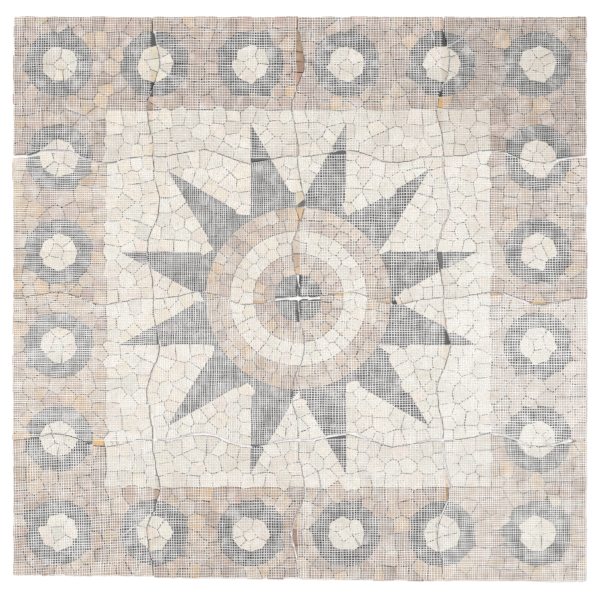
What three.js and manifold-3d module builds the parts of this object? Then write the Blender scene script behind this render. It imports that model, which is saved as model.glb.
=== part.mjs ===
// A mosaic panel of sixteen marble mats that interlock along wavy seams, lying with its mesh side up.
// Millimetres. X runs along the panel's width, Y up the picture and Z up to the mesh.
// The origin is the middle of the picture, on the plane of the stones' polished faces.
import * as THREE from "three";
import { mergeVertices } from "three/addons/utils/BufferGeometryUtils.js";
import Module from "manifold-3d";

const wasm = await Module();
wasm.setup();

// The mats
const MAT_WIDTH = 303; // from seam to seam along X
const MAT_HEIGHT = 296.5; // from seam to seam along Y
const MATS_PER_SIDE = 4;
const EDGE_TRIM = { left: 10, right: 4.5, top: 5, bottom: 8.5 }; // how far each edge stops short of a whole mat
const BOTTOM_FALL = 12; // how much lower the bottom edge ends on the right than on the left
const STONE_THICKNESS = 9;
const SEAM_GAP = 2.6; // between two mats in their nominal places
const SEAM_WAVE = 13; // how far a seam swings to each side of its straight line
const WAVE_STEPS = 9; // straight chip edges along one side of a mat

// The glass-fibre mesh on the back of each mat
const MESH_THICKNESS = 0.7;
const GLUE_LINE = 0.3; // between the stones and the mesh
const MESH_INSET = 0.6; // from the edge of the stones, which the mesh follows

// The inlaid picture, laid out along X and stretched with the mats along Y
const FIELD_WIDTH = 802; // of the cream field, inside the rose border
const ROUNDELS_PER_SIDE = 6;
const ROUNDEL_PITCH = 200;
const ROUNDEL_RADIUS = 69; // outside of a grey ring
const ROUNDEL_CORE_RADIUS = 37.5; // cream disc inside the ring
const HUB_RADII = [49, 94, 144, 194]; // grey disc, rose ring, cream ring and rose ring of the hub
const STAR_POINTS = 12;
const STAR_TIP_RADIUS = 385;
const JOINT = 2.2; // open joint where two colours meet
const GLUE_SKIN = 1; // glue that has run in behind the chips and closes the joints on the mesh side
const CHIP_EDGE = 32; // length of a chip's edge along a round outline
const LEAST_EDGES = 8; // chip edges round the smallest outline

// How each mat lies off its nominal place: along X, along Y and by a turn, each as a share of the seam gap.
const LAID = {
  a1: [0.1, 0.35, -0.35],
  a2: [0, 0.3, 0],
  a3: [0, 0.3, 0.05],
  a4: [0.1, 0.1, -0.05],
  b1: [-0.2, -0.3, 0.2],
  b2: [0, 0, 0.05],
  b3: [0.1, 0.2, -0.05],
  b4: [0.3, -0.15, 0.05],
  c1: [-0.35, 0, 0],
  c2: [0.15, -0.15, -0.15],
  c3: [0.1, -0.2, 0.15],
  c4: [0.2, 0, 0],
  d1: [-0.3, 0.25, 0.08],
  d2: [-0.05, -0.8, 0],
  d3: [0.1, -1.1, 0],
  d4: [0, -0.7, -0.08],
};

// Colours and finishes
const rose = new THREE.MeshStandardMaterial({ color: 0xcfae9a, roughness: 0.6 });
const cream = new THREE.MeshStandardMaterial({ color: 0xe8dfce, roughness: 0.55 });
const glassMesh = new THREE.MeshStandardMaterial({
  color: 0xf3f1ee,
  roughness: 0.7,
  transparent: true,
  opacity: 0.4,
});

const halfCount = MATS_PER_SIDE / 2;
const stretch = MAT_HEIGHT / MAT_WIDTH;
const edge = {
  left: EDGE_TRIM.left - halfCount * MAT_WIDTH,
  right: halfCount * MAT_WIDTH - EDGE_TRIM.right,
  bottom: EDGE_TRIM.bottom - halfCount * MAT_HEIGHT,
  top: halfCount * MAT_HEIGHT - EDGE_TRIM.top,
};
const PANEL_CENTRE = { x: 0, y: 0 };
const PASS = 5; // how far a cutting solid passes the faces that it cuts

// A point of the picture, given by its distance and direction from a centre.
function around(centre, radius, degrees) {
  const angle = THREE.MathUtils.degToRad(degrees);
  return new THREE.Vector2(
    centre.x + radius * Math.cos(angle),
    centre.y + radius * Math.sin(angle) * stretch,
  );
}

// Solids

function solidOf(geometry) {
  geometry.deleteAttribute("normal");
  geometry.deleteAttribute("uv");
  const merged = mergeVertices(geometry, 1e-4);
  return new wasm.Manifold(
    new wasm.Mesh({
      numProp: 3,
      vertProperties: new Float32Array(merged.attributes.position.array),
      triVerts: new Uint32Array(merged.index.array),
    }),
  );
}

function prism(outline, bottom, top, hole) {
  const shape = new THREE.Shape(outline);
  if (hole) shape.holes.push(new THREE.Path(hole));
  const geometry = new THREE.ExtrudeGeometry(shape, { depth: top - bottom, bevelEnabled: false });
  geometry.translate(0, 0, bottom);
  return solidOf(geometry);
}

function box(halfX, halfY, bottom, top) {
  const corners = [[-1, -1], [1, -1], [1, 1], [-1, 1]];
  return prism(corners.map(([x, y]) => new THREE.Vector2(x * halfX, y * halfY)), bottom, top);
}

function meshOf(name, solid, material) {
  const { numProp, vertProperties, triVerts } = solid.getMesh();
  const positions = new Float32Array((vertProperties.length / numProp) * 3);
  for (let i = 0; i * numProp < vertProperties.length; i++)
    positions.set(vertProperties.subarray(i * numProp, i * numProp + 3), i * 3);
  const geometry = new THREE.BufferGeometry();
  geometry.setAttribute("position", new THREE.BufferAttribute(positions, 3));
  geometry.setIndex(new THREE.BufferAttribute(new Uint32Array(triVerts), 1));
  const flat = geometry.toNonIndexed();
  flat.computeVertexNormals();
  const mesh = new THREE.Mesh(flat, material);
  mesh.name = name;
  return mesh;
}

// Seams

// One swing to each side along a mat's side, level at both ends; 1 at its crest and -1 at its trough.
function wave(share) {
  const crest = 0.6495;
  return (Math.sin(2 * Math.PI * share) * Math.sin(Math.PI * share) ** 2) / crest;
}

// The corners of a mat's cell in the panel, and which of its sides lie on the panel's edge.
function cellOf(row, column) {
  const left = (column - halfCount) * MAT_WIDTH;
  const bottom = (halfCount - 1 - row) * MAT_HEIGHT;
  const outer = {
    left: column === 0,
    right: column === MATS_PER_SIDE - 1,
    top: row === 0,
    bottom: row === MATS_PER_SIDE - 1,
  };
  return { left, bottom, right: left + MAT_WIDTH, top: bottom + MAT_HEIGHT, outer };
}

// The outline of a mat's stones, anticlockwise in the panel's frame, or of what lies on them with an inset.
function matOutline(cell, inset = 0) {
  const inward = { left: 1, right: -1, bottom: 1, top: -1 };
  const isUpright = (side) => side === "left" || side === "right";
  const base = (side) =>
    cell.outer[side]
      ? edge[side] + inward[side] * inset
      : cell[side] + inward[side] * (SEAM_GAP / 2 + inset);
  const level = (side, at) => {
    if (cell.outer[side])
      return side === "bottom" ? base(side) - (BOTTOM_FALL * at) / (edge.right - edge.left) : base(side);
    const share = isUpright(side) ? (cell.top - at) / MAT_HEIGHT : (at - cell.left) / MAT_WIDTH;
    return base(side) + SEAM_WAVE * wave(share);
  };
  const outline = [];
  const along = (side, from, to) => {
    const steps = cell.outer[side] ? 1 : WAVE_STEPS;
    for (let i = 0; i < steps; i++) {
      const at = from + ((to - from) * i) / steps;
      const point = isUpright(side) ? [level(side, at), at] : [at, level(side, at)];
      outline.push(new THREE.Vector2(...point));
    }
  };
  along("bottom", base("left"), base("right"));
  along("right", level("bottom", base("right")), base("top"));
  along("top", base("right"), base("left"));
  along("left", base("top"), level("bottom", base("left")));
  return outline;
}

// Joints between the colours, open on the polished face and closed by glue on the mesh side

const jointTop = STONE_THICKNESS - GLUE_SKIN;

// A round joint between chips whose straight edges follow a circle.
function roundJoint(centre, radius) {
  const edges = Math.max(LEAST_EDGES, Math.round((2 * Math.PI * radius) / CHIP_EDGE));
  const ring = (ringRadius) => {
    const corners = [];
    for (let i = 0; i < edges; i++) corners.push(around(centre, ringRadius, (360 * i) / edges));
    return corners;
  };
  return prism(ring(radius + JOINT / 2), -PASS, jointTop, ring(radius - JOINT / 2));
}

function straightJoint(from, to) {
  const across = new THREE.Vector2(from.y - to.y, to.x - from.x).setLength(JOINT / 2);
  const corners = [
    from.clone().sub(across),
    to.clone().sub(across),
    to.clone().add(across),
    from.clone().add(across),
  ];
  return prism(corners, -PASS, jointTop);
}

// The roundels run round the border in a square, the corner ones shared by two sides.
function roundelJoints() {
  const last = ROUNDELS_PER_SIDE - 1;
  const cuts = [];
  for (let i = 0; i <= last; i++)
    for (let j = 0; j <= last; j++) {
      const inside = i > 0 && i < last && j > 0 && j < last;
      if (inside) continue;
      const centre = {
        x: (i - last / 2) * ROUNDEL_PITCH,
        y: (j - last / 2) * ROUNDEL_PITCH * stretch,
      };
      cuts.push(roundJoint(centre, ROUNDEL_RADIUS));
      cuts.push(roundJoint(centre, ROUNDEL_CORE_RADIUS));
    }
  return cuts;
}

function hubJoints() {
  return HUB_RADII.map((radius) => roundJoint(PANEL_CENTRE, radius));
}

// Each point of the star stands on an arc of the hub, with its tip over the middle of the arc.
function starJoints() {
  const base = Math.max(...HUB_RADII);
  const step = 360 / STAR_POINTS;
  const cuts = [];
  for (let i = 0; i < STAR_POINTS; i++) {
    const tip = around(PANEL_CENTRE, STAR_TIP_RADIUS, (i + 0.5) * step);
    for (const corner of [i, i + 1])
      cuts.push(straightJoint(around(PANEL_CENTRE, base, corner * step), tip));
  }
  return cuts;
}

const joints = wasm.Manifold.union([...roundelJoints(), ...hubJoints(), ...starJoints()]);

// Mats

// The stones and the mesh of one mat, in a group at the mat's own centre.
function makeMat(name, row, column) {
  const cell = cellOf(row, column);
  const centre = { x: (cell.left + cell.right) / 2, y: (cell.bottom + cell.top) / 2 };
  const toCentre = [-centre.x, -centre.y, 0];
  const stones = prism(matOutline(cell), 0, STONE_THICKNESS).subtract(joints);
  const inField = (grow) =>
    box(FIELD_WIDTH / 2 + grow, (FIELD_WIDTH / 2) * stretch + grow, -PASS, STONE_THICKNESS + PASS);
  const border = stones.subtract(inField(JOINT / 2));
  const field = stones.intersect(inField(-JOINT / 2));

  const meshBottom = STONE_THICKNESS + GLUE_LINE;
  const sheet = prism(matOutline(cell, MESH_INSET), meshBottom, meshBottom + MESH_THICKNESS);

  const mat = new THREE.Group();
  if (!border.isEmpty()) mat.add(meshOf(`mat_${name}_border_stones`, border.translate(toCentre), rose));
  if (!field.isEmpty()) mat.add(meshOf(`mat_${name}_field_stones`, field.translate(toCentre), cream));
  mat.add(meshOf(`mat_${name}_mesh`, sheet.translate(toCentre), glassMesh));

  const [alongX, alongY, turn] = LAID[name];
  mat.position.set(centre.x + alongX * SEAM_GAP, centre.y + alongY * SEAM_GAP, 0);
  mat.rotation.z = (turn * SEAM_GAP) / (MAT_WIDTH / 2);
  return mat;
}

const panel = new THREE.Group();
for (let row = 0; row < MATS_PER_SIDE; row++)
  for (let column = 0; column < MATS_PER_SIDE; column++)
    panel.add(makeMat("abcd"[row] + (column + 1), row, column));

export default panel;
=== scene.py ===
# %% [markdown]
# A marble mosaic panel, lying with its mesh side up
#
# The panel is sixteen loose mats that interlock along wavy seams. Each mat is about a hundred and twenty
# broken marble chips, laid by hand into a picture and held together by a sheet of white glass-fibre mesh
# that is glued to their backs. That side is bedded in adhesive later, so this is a look at the workshop
# side: stone seen through a net. The polished faces lie down.
#
# The solids of the imported model give the size and the place of everything. The first cell loads them,
# keeps their box and prints it, and the last cell prints the finished piece's box as well.

import math
import time

import bpy
import numpy as np
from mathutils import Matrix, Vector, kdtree


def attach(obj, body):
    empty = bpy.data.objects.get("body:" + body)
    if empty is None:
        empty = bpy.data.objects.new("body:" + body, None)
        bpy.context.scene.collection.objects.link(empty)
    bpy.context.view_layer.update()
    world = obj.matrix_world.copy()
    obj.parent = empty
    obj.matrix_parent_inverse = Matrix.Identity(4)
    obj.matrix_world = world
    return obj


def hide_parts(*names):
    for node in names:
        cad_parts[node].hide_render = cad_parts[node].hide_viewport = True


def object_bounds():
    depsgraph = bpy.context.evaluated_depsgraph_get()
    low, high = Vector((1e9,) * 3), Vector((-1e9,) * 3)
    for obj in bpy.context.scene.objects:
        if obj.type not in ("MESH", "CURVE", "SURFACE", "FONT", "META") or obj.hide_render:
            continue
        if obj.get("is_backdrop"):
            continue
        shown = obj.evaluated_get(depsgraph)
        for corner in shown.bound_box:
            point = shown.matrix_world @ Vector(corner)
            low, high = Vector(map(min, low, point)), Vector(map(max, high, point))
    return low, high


started = time.time()
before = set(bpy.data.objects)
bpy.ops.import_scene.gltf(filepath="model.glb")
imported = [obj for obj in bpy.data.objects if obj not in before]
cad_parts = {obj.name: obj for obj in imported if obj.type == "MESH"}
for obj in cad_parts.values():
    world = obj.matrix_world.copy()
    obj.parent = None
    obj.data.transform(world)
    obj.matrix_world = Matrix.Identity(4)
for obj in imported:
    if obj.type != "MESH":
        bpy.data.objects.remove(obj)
cad_box = [list(corner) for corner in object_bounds()]
print("the solids' box, in metres:", cad_box)

# %% [markdown]
# The mats and their seams
#
# A seam isn't straight: along each side of a mat it swings once to one side and once to the other, so that
# the neighbours hook into each other and no line shows once the floor is laid. One formula gives every seam.
# The drawing is made on a square grid in millimetres, with the middle of the picture at zero, and is pressed
# a little flatter at the very end, when each mat is put in its place.

# %% The mats
MM = 0.001  # one millimetre, in metres
MAT = 303.0  # from seam to seam
FLATTEN = 296.5 / MAT  # the mats are this much shorter up the picture
MATS_PER_SIDE = 4
SEAM_WAVE = 13.0  # how far a seam swings to each side
WAVE_PEAK = 0.6495  # the highest value of the two sines that shape the swing
SEAM_JOGS = ((0.7, 57.0, 2.1), (0.35, 35.0, 1.0))  # how far a seam jogs, over what length, and its shift
SEAM_GAP = 2.6  # between two mats in their nominal places
STONE_THICKNESS = 9.0
EDGE_TRIM = {"left": 10.0, "right": 4.5, "top": 5.0, "bottom": 8.5}
BOTTOM_FALL = 12.0  # how much lower the bottom edge ends on the right than on the left

HALF = MATS_PER_SIDE / 2 * MAT
EDGE = {
    "left": EDGE_TRIM["left"] - HALF,
    "right": HALF - EDGE_TRIM["right"],
    "top": HALF - EDGE_TRIM["top"] / FLATTEN,
    "bottom": EDGE_TRIM["bottom"] / FLATTEN - HALF,
}

# How each mat lies off its nominal place: along X, along Y and by a turn, as shares of the seam gap.
LAID = {
    "a1": (0.1, 0.35, -0.35),
    "a2": (0, 0.3, 0),
    "a3": (0, 0.3, 0.05),
    "a4": (0.1, 0.1, -0.05),
    "b1": (-0.2, -0.3, 0.2),
    "b2": (0, 0, 0.05),
    "b3": (0.1, 0.2, -0.05),
    "b4": (0.3, -0.15, 0.05),
    "c1": (-0.35, 0, 0),
    "c2": (0.15, -0.15, -0.15),
    "c3": (0.1, -0.2, 0.15),
    "c4": (0.2, 0, 0),
    "d1": (-0.3, 0.25, 0.08),
    "d2": (-0.05, -0.8, 0),
    "d3": (0.1, -1.1, 0),
    "d4": (0, -0.7, -0.08),
}
MATS = list(LAID)


def wave(along):
    """A seam's swing at a distance along it, from the corner of a mat."""
    share = (along / MAT) % 1.0
    return SEAM_WAVE * np.sin(2 * np.pi * share) * np.sin(np.pi * share) ** 2 / WAVE_PEAK


def jog(along, number):
    """The small stray of a seam that follows broken chips."""
    return sum(far * np.sin(2 * np.pi * along / length + shift * number) for far, length, shift in SEAM_JOGS)


def upright_seam(number, y):
    """How far right the seam after so many columns lies, at each height."""
    return number * MAT - HALF + wave(HALF - y) + jog(y, number)


def level_seam(number, x):
    """How high the seam under so many rows lies, at each distance to the right."""
    return HALF - number * MAT + wave(x + HALF) / FLATTEN + jog(x, number + MATS_PER_SIDE)


def bottom_edge(x):
    """How high the panel's bottom edge lies, which falls a little to the right."""
    return EDGE["bottom"] - BOTTOM_FALL / FLATTEN * x / (EDGE["right"] - EDGE["left"])


def mat_at(x, y):
    """The number of the mat at each point, or -1 off the panel."""
    seams = range(1, MATS_PER_SIDE)
    column = sum((x > upright_seam(number, y)).astype(int) for number in seams)
    row = sum((y < level_seam(number, x)).astype(int) for number in seams)
    on_panel = (x > EDGE["left"]) & (x < EDGE["right"]) & (y < EDGE["top"]) & (y > bottom_edge(x))
    return np.where(on_panel, row * MATS_PER_SIDE + column, -1)


def put_in_place(points, mat):
    """Drawing points of one mat, flattened and laid where the mat lies, still in millimetres."""
    row, column = divmod(mat, MATS_PER_SIDE)
    centre = np.array([(column + 0.5) * MAT - HALF, (HALF - (row + 0.5) * MAT) * FLATTEN])
    along_x, along_y, turn = LAID[MATS[mat]]
    angle = turn * SEAM_GAP / (MAT / 2)
    turned = np.array([[math.cos(angle), -math.sin(angle)], [math.sin(angle), math.cos(angle)]])
    local = points * [1, FLATTEN] - centre
    return local @ turned.T + centre + np.array([along_x, along_y]) * SEAM_GAP


print(len(MATS), "mats, each", MAT, "by", round(MAT * FLATTEN, 1), "mm from seam to seam")

# %% [markdown]
# The picture
#
# Three marbles make the picture. A star with twelve grey points stands on a hub of rings, in a cream field.
# Round it runs a rose border with twenty roundels, each a grey ring round a cream disc. The whole drawing is
# one function that answers a question: which stone belongs at this point? Everything later only asks it, so
# a change of size here moves the chips by itself.

# %% The picture
ROSE, CREAM, GREY = range(3)
STONES = ("rose", "cream", "grey")
FIELD_WIDTH = 802.0
HUB = ((49.0, GREY), (94.0, ROSE), (144.0, CREAM), (194.0, ROSE))  # each ring's outer radius, and its stone
STAR_POINTS = 12
STAR_TIP = 385.0  # radius
ROUNDEL_PITCH = 200.0
ROUNDELS_PER_SIDE = 6
ROUNDEL_RADIUS = 69.0
CORE_RADIUS = 37.5  # of the cream disc in a roundel
SAMPLE_STEP = 4  # between the points at which the finished picture is sampled

HUB_RADIUS = HUB[-1][0]
STEP = 2 * math.pi / STAR_POINTS  # from one star point to the next


def nearest_roundel(value):
    """Along one axis, the number of the nearest roundel and its distance."""
    middle = (ROUNDELS_PER_SIDE - 1) / 2
    number = np.clip(np.round(value / ROUNDEL_PITCH + middle), 0, ROUNDELS_PER_SIDE - 1)
    return number, value - (number - middle) * ROUNDEL_PITCH


def stone_at(x, y):
    """The stone that the picture has at each point."""
    half = FIELD_WIDTH / 2
    stone = np.where((abs(x) < half) & (abs(y) < half), CREAM, ROSE)
    radius = np.hypot(x, y)
    turn = np.arctan2(y, x) % STEP - STEP / 2
    out, aside = radius * np.cos(turn), abs(radius * np.sin(turn))
    corner_out, corner_aside = HUB_RADIUS * math.cos(STEP / 2), HUB_RADIUS * math.sin(STEP / 2)
    slope = corner_aside / (STAR_TIP - corner_out)
    stone = np.where((out < STAR_TIP) & (aside < slope * (STAR_TIP - out)), GREY, stone)
    for outer, kind in reversed(HUB):
        stone = np.where(radius < outer, kind, stone)
    column, off_x = nearest_roundel(x)
    row, off_y = nearest_roundel(y)
    last = ROUNDELS_PER_SIDE - 1
    in_border = (column == 0) | (column == last) | (row == 0) | (row == last)
    from_roundel = np.where(in_border, np.hypot(off_x, off_y), np.inf)
    stone = np.where(from_roundel < ROUNDEL_RADIUS, GREY, stone)
    return np.where(from_roundel < CORE_RADIUS, CREAM, stone)


def area_at(points):
    """One number for each mat and stone together, or -1 off the panel."""
    x, y = points[..., 0], points[..., 1]
    mat = mat_at(x, y)
    return np.where(mat < 0, -1, mat * len(STONES) + stone_at(x, y))


samples = np.arange(-HALF, HALF, SAMPLE_STEP)
shown = area_at(np.stack(np.meshgrid(samples, samples), axis=-1))
for kind, name in enumerate(STONES):
    share = np.mean((shown[shown >= 0] % len(STONES)) == kind)
    print(f"{name} covers {share:.0%} of the panel")

# %% [markdown]
# Laying the chips
#
# A mosaic layer works from the outlines. They lay a course of chips along both sides of each line of the
# picture, so that the line comes out clean, and then fill what is left with whatever fits. The same order
# works here. Each chip is one point, its middle. A chip's edge will fall halfway between two middles, so two
# points that mirror each other in a line put an edge exactly on it.

# %% Outlines as close rows of points
LINE_STEP = 1.0  # between the points of an outline


def straight(start, end):
    start, end = np.array(start, float), np.array(end, float)
    count = max(2, int(np.hypot(*(end - start)) / LINE_STEP))
    return start + (end - start) * np.linspace(0, 1, count)[:, None]


def circle(centre, radius):
    angles = np.linspace(0, 2 * np.pi, int(2 * np.pi * radius / LINE_STEP))
    return np.array(centre) + radius * np.stack([np.cos(angles), np.sin(angles)], axis=-1)


def polar(radius, angle):
    return radius * math.cos(angle), radius * math.sin(angle)


# %% The lines of the picture
TIP_LENGTH = 80.0  # the thin end of a star point, which is laid in one row


def roundel_centres():
    middle = (ROUNDELS_PER_SIDE - 1) / 2
    for row in range(ROUNDELS_PER_SIDE):
        for column in range(ROUNDELS_PER_SIDE):
            if {row, column} & {0, ROUNDELS_PER_SIDE - 1}:
                yield (column - middle) * ROUNDEL_PITCH, (row - middle) * ROUNDEL_PITCH


def star_lines():
    """Both edges of each star point, from the hub to where its thin end starts."""
    for number in range(STAR_POINTS):
        tip = np.array(polar(STAR_TIP, (number + 0.5) * STEP))
        for corner in (number, number + 1):
            foot = np.array(polar(HUB_RADIUS, corner * STEP))
            yield straight(foot, tip + (foot - tip) * TIP_LENGTH / np.hypot(*(foot - tip)))


def field_lines():
    half = FIELD_WIDTH / 2
    corners = [(-half, -half), (half, -half), (half, half), (-half, half)]
    for start, end in zip(corners, corners[1:] + corners[:1]):
        yield straight(start, end)


print(len(list(roundel_centres())), "roundels and", len(list(star_lines())), "edges of star points")

# %% Chips in rows along a line
rng = np.random.default_rng(16)
PROBE = 2.0  # how far to each side of a line its areas are looked up
PROBE_STEP = 1.0  # between the points at which an area's reach is looked up
SHORTEST = 9.0  # a stretch of line shorter than this gets no chips of its own
UNEVEN = (0.65, 1.35)  # how the chips along a line vary in width
middles = np.zeros((0, 2))  # of the chips laid so far
areas = np.zeros(0, int)  # in which each of them lies


def add_middle(point, area, clearance):
    """Adds a chip's middle, unless it is off its area or a chip of the same area is too near."""
    global middles, areas
    if area < 0 or area_at(point) != area:
        return
    near = np.hypot(*(middles[areas == area] - point).T)
    if len(near) and near.min() < clearance:
        return
    middles = np.vstack([middles, point])
    areas = np.append(areas, area)


def room(point, normal, area, most):
    """How far an area reaches from a line."""
    reach = np.arange(PROBE, most, PROBE_STEP)
    inside = area_at(point + reach[:, None] * normal) == area
    return most if inside.all() else reach[np.argmin(inside)]


def normals_of(line):
    """The directions square to a line, to the left of where it heads."""
    heading = np.gradient(line, axis=0)
    normals = np.stack([-heading[:, 1], heading[:, 0]], axis=-1)
    return normals / np.linalg.norm(normals, axis=1)[:, None]


def stretches(*sides):
    """The stretches of a line along which the areas beside it stay the same."""
    change = sum(np.diff(side) != 0 for side in sides) > 0
    stops = [0, *(np.flatnonzero(change) + 1), len(sides[0])]
    for start, end in zip(stops, stops[1:]):
        if (end - start) * LINE_STEP > SHORTEST:
            yield start, end


def places(start, end, across):
    """Uneven chips in a row along a stretch: where the middle of each one lies, and its width."""
    length = end - start
    widths = rng.uniform(*UNEVEN, max(1, round(length * LINE_STEP / across)))
    widths *= length / widths.sum()
    for centre, width in zip(np.cumsum(widths) - widths / 2, widths):
        yield start + int(centre), width * LINE_STEP


# %% The two courses along a line of the picture
DEPTHS = (0.4, 0.56)  # from a line to the middle of its chips, as a share of their width
LOOK = 3.0  # how many such depths the area beside a line is looked over
NARROW = 2.2  # an area that reaches less far than this many depths has its chips halfway across
CLEAR_WIDTHS, CLEAR_DEPTHS = 0.6, 1.7  # what a pair keeps from other chips, in its widths or depths

# How much nearer or further the second chip of a pair lies, which shifts the edge by half of that.
LINE_UNEVEN = 2.0


def lay_course(line, across):
    """Chips of about one size along both sides of a line, each pair mirrored in it."""
    normals = normals_of(line)
    left_areas, right_areas = area_at(line + PROBE * normals), area_at(line - PROBE * normals)
    for start, end in stretches(left_areas, right_areas):
        if left_areas[start] != right_areas[start]:
            for at, width in places(start, end, across):
                lay_pair(line[at], normals[at], left_areas[at], right_areas[at], width)


def lay_pair(point, normal, left_area, right_area, across):
    """Two chips that face each other across a line, nearer to it where an area beside it is narrow."""
    depth = across * rng.uniform(*DEPTHS)
    for outward, area in ((normal, left_area), (-normal, right_area)):
        reach = room(point, outward, area, LOOK * depth) if area >= 0 else LOOK * depth
        if reach < NARROW * depth:
            depth = reach / 2
    clearance = min(CLEAR_WIDTHS * across, CLEAR_DEPTHS * depth)
    add_middle(point + depth * normal, left_area, clearance)
    others = middles[areas == left_area]
    mirrored = np.hypot(*(others - point).T).min() if len(others) else depth
    mirrored += rng.uniform(-LINE_UNEVEN, LINE_UNEVEN)
    add_middle(point - mirrored * normal, right_area, clearance)


# %% [markdown]
# The thin end of a star point has no room for two courses. It gets one row of chips down its middle, and
# beside each of them the cream field gets a chip on both sides, so that the point keeps its sharp edges. One
# more chip past the tip ends it.

# %% The row in the thin end of a star point
TIP_ROW = (20.0, 42.0, 66.0)  # from the tip to the middles of its chips
TIP_UNEVEN = 2.5  # how far they stray along it


def mirrored_in(point, start, end):
    """A point's mirror image in the line through two others."""
    along = (end - start) / np.hypot(*(end - start))
    off = point - start
    return start + 2 * (off @ along) * along - off


def lay_tip(number):
    """One row of chips in the thin end of a star point, mirrored in both of its edges and past its tip."""
    angle = (number + 0.5) * STEP
    tip, outward = np.array(polar(STAR_TIP, angle)), np.array(polar(1.0, angle))
    for from_tip in TIP_ROW:
        middle = tip - (from_tip + rng.uniform(-TIP_UNEVEN, TIP_UNEVEN)) * outward
        feet = [np.array(polar(HUB_RADIUS, corner * STEP)) for corner in (number, number + 1)]
        partners = [mirrored_in(middle, tip, foot) for foot in feet]
        if from_tip == TIP_ROW[0]:
            partners.append(2 * tip - middle)
        for point in (middle, *partners):
            add_middle(point, area_at(point), 0.0)


for number in range(STAR_POINTS):
    lay_tip(number)
print(len(middles), "chips in and round the thin ends")

# %% The courses along the outlines
ACROSS = 27.0  # the usual width of a chip on an outline
HUB_ACROSS = 24.0  # on the rings of the hub
CORE_ACROSS = 29.0  # round the cream disc of a roundel

for radius, _ in HUB:
    lay_course(circle((0, 0), radius), HUB_ACROSS)
for centre in roundel_centres():
    lay_course(circle(centre, CORE_RADIUS), CORE_ACROSS)
    lay_course(circle(centre, ROUNDEL_RADIUS), ACROSS)
for line in (*star_lines(), *field_lines()):
    lay_course(line, ACROSS)
print(len(middles), "chips along the lines of the picture")

# %% [markdown]
# The sides of a mat come next. Here it is different: every mat was laid on its own, so the chips on the two
# sides of a seam don't answer each other. Each side is kept as a row of close points, with the direction that
# looks out of the mat and the gap that it leaves there. Most seams are pushed shut. In some stretches the
# mats stand apart, and the white floor shines through.

# %% The sides of the mats
SHUT = 0.5  # the gap of a seam that is pushed shut
SIDES = {"left": (True, 0), "right": (True, 1), "top": (False, 0), "bottom": (False, 1)}

# Where a seam stands open: whether it is upright, its number, from where to where along it, and its gap.
OPEN = (
    (False, 1, -600, -567, 6.6),
    (False, 1, -567, -535, 4.6),
    (False, 1, -535, -430, 3.2),
    (False, 1, 540, 600, 4.2),
    (False, 2, -50, 52, 4.6),
    (False, 2, 430, 482, 3.8),
    (False, 3, -304, -222, 2.8),
    (False, 3, -222, -98, 5.4),
    (False, 3, -50, 50, 5.0),
    (False, 3, 55, 135, 5.2),
    (False, 3, 255, 304, 3.6),
    (False, 3, 405, 478, 4.4),
    (False, 3, 525, 580, 4.2),
    (True, 1, -310, -240, 4.8),
    (True, 1, -160, -80, 2.6),
    (True, 2, -52, 50, 1.8),
    (True, 2, -585, -440, 2.8),
    (True, 3, -385, -315, 4.0),
    (True, 3, 110, 304, 2.6),
    (True, 3, -475, -435, 4.2),
)


def gaps_along(upright, number, along):
    """The gap that a seam leaves at each distance along it."""
    gaps = np.full(len(along), SHUT)
    for is_upright, seam, start, end, gap in OPEN:
        if (is_upright, seam) == (upright, number):
            gaps[(along > start) & (along < end)] = gap
    return gaps


def side_line(mat, side):
    """One side of a mat: close points, the directions out of the mat and the gaps there."""
    upright, after = SIDES[side]
    row, column = divmod(mat, MATS_PER_SIDE)
    number = (column if upright else row) + after
    along = np.arange(-HALF, HALF, LINE_STEP)
    if number in (0, MATS_PER_SIDE):
        across = bottom_edge(along) if side == "bottom" else np.full(len(along), EDGE[side])
        gaps = np.zeros(len(along))
    else:
        across = upright_seam(number, along) if upright else level_seam(number, along)
        gaps = gaps_along(upright, number, along)
    line = np.stack([across, along] if upright else [along, across], axis=-1)
    outward = normals_of(line) * (1 if side in ("left", "top") else -1)
    return line, outward, gaps


MAT_SIDES = {(mat, side): side_line(mat, side) for mat in range(len(MATS)) for side in SIDES}
print(len(MAT_SIDES), "sides, and", len(OPEN), "stretches where a seam stands open")

# %% One course along each side of each mat
SIDE_ACROSS = 25.0  # the usual width of a chip there
SIDE_DEPTHS = (7.0, 17.0)  # from a seam or an edge to the middle of a chip
SIDE_CLEARANCE = 0.62 * SIDE_ACROSS

for (mat, side), (line, outward, _) in MAT_SIDES.items():
    side_areas = area_at(line - PROBE * outward)
    for start, end in stretches(side_areas):
        if side_areas[start] // len(STONES) == mat:
            for at, width in places(start, end, SIDE_ACROSS):
                inner = line[at] - rng.uniform(*SIDE_DEPTHS) * outward[at]
                add_middle(inner, side_areas[start], SIDE_CLEARANCE)
print(len(middles), "chips with those along the seams and the edges")

# %% [markdown]
# Filling in
#
# What is left is filled at random, with one rule: no two chips closer than a hand would lay them. Throwing
# darts and keeping those that land far enough from the rest gives just that uneven, natural spread. A dart
# also has to land well inside its area, because the courses already look after its edges. The cream disc of
# a roundel gets a chip near its centre first.

# %% The filling
FILL_CLEARANCE = {ROSE: 22.5, CREAM: 25.0, GREY: 20.0}  # between the middles of two chips
FILL_FROM_LINE = 14.0
DARTS = 26000
RING = np.array([polar(FILL_FROM_LINE, turn) for turn in np.arange(0, 2 * np.pi, np.pi / 4)])
CORE_STRAY = 6.0  # how far off its centre a cream disc's first chip lies
CORE_CLEARANCE = 0.5 * ACROSS

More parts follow.
